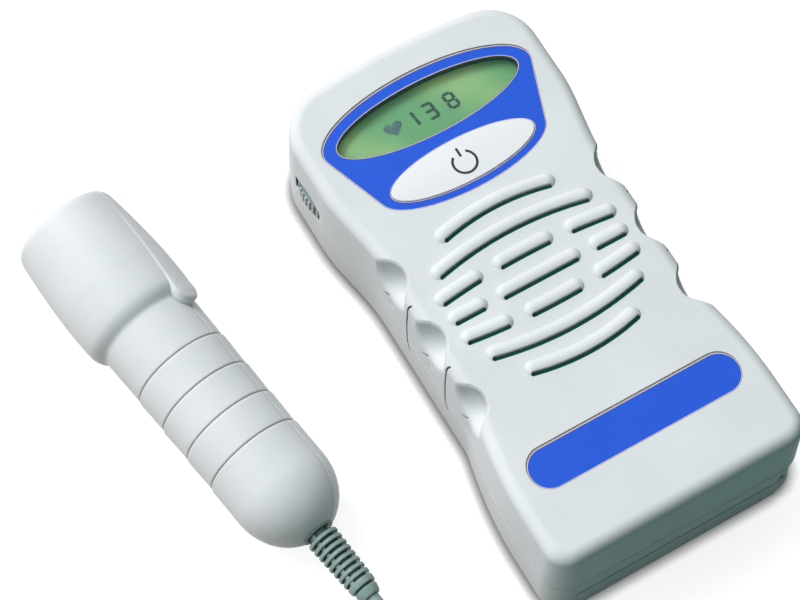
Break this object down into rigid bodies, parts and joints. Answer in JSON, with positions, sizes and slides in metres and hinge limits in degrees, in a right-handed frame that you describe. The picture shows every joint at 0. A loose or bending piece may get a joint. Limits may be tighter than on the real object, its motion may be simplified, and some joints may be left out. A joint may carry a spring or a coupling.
{
  "type": "fetal doppler monitor",
  "caption": "Hand-held fetal heart monitor with LCD, louvred loudspeaker, power button and volume wheel, and its wired ultrasound probe with a coiled cord lying beside it.",
  "frame": {"origin": "middle of the flat back of the monitor, which lies on the table", "axes": "+Z from the back to the front face, +Y from the battery end to the display end, +X to the right of someone reading the display"},
  "size_m": [0.1517, 0.2395, 0.0383],
  "materials": {
    "case": "fine spark texture, moulded",
    "overlay": "printed polycarbonate film",
    "button": "smooth moulded",
    "clear": "clear acrylic",
    "glass": "liquid crystal cell with reflective back film",
    "black": "moulded",
    "grey": "matt flexible PVC",
    "board": "glass-epoxy board, solder mask",
    "steel": "nickel plated",
    "ceramic": "silvered ceramic",
    "cloth": "fine damping cloth",
    "paper": "paper cone",
    "cell": "plain sleeve",
    "lens": "smooth silicone",
    "strip": "conductive elastomer"
  },
  "bodies": {
    "monitor": {"top_case": "case", "bottom_case": "case", "upper_overlay": "overlay", "lower_overlay": "overlay", "lcd_window": "clear", "lcd_panel": "glass", "lcd_holder": "case", "contact_strips": "strip", "display_board": "board", "power_switch": "black", "main_board": "board", "board_parts": "black", "board_screws": "steel", "display_screws": "steel", "speaker_frame": "steel", "speaker_cone": "paper", "speaker_magnet": "steel", "speaker_cloth": "cloth", "volume_pot": "black", "probe_socket": "steel", "earphone_jack": "black", "battery_front": "cell", "battery_rear": "cell", "battery_springs": "steel", "battery_plates": "steel", "case_screws": "steel"},
    "button": {"power_button": "button", "switch_plunger": "black"},
    "wheel": {"volume_wheel": "case", "wheel_screw": "steel"},
    "door": {"battery_door": "case"},
    "probe": {"probe_shell_upper": "case", "probe_shell_lower": "case", "probe_face": "lens", "probe_crystals": "ceramic", "probe_board": "board", "strain_relief": "grey", "probe_cord": "grey", "cord_coil": "grey", "cord_tie": "black", "plug_body": "grey", "plug_sleeve": "steel"}
  },
  "joints": [
    {"name": "button_press", "type": "slide", "parent": "monitor", "child": "button", "axis": [0, 0, -1], "range_m": [0, 0.0008], "stiffness_N_per_m": 500},
    {"name": "volume_turn", "type": "hinge", "parent": "monitor", "child": "wheel", "pos_m": [-0.0257, 0.0534, 0.0198], "axis": [0, 0, 1], "range_deg": [-140, 140]},
    {"name": "door_slide", "type": "slide", "parent": "monitor", "child": "door", "axis": [0, -1, 0], "range_m": [0, 0.035]},
    {"name": "probe_lift", "type": "slide", "parent": "monitor", "child": "probe", "axis": [0, 0, 1], "range_m": [0, 0.12]}
  ]
}
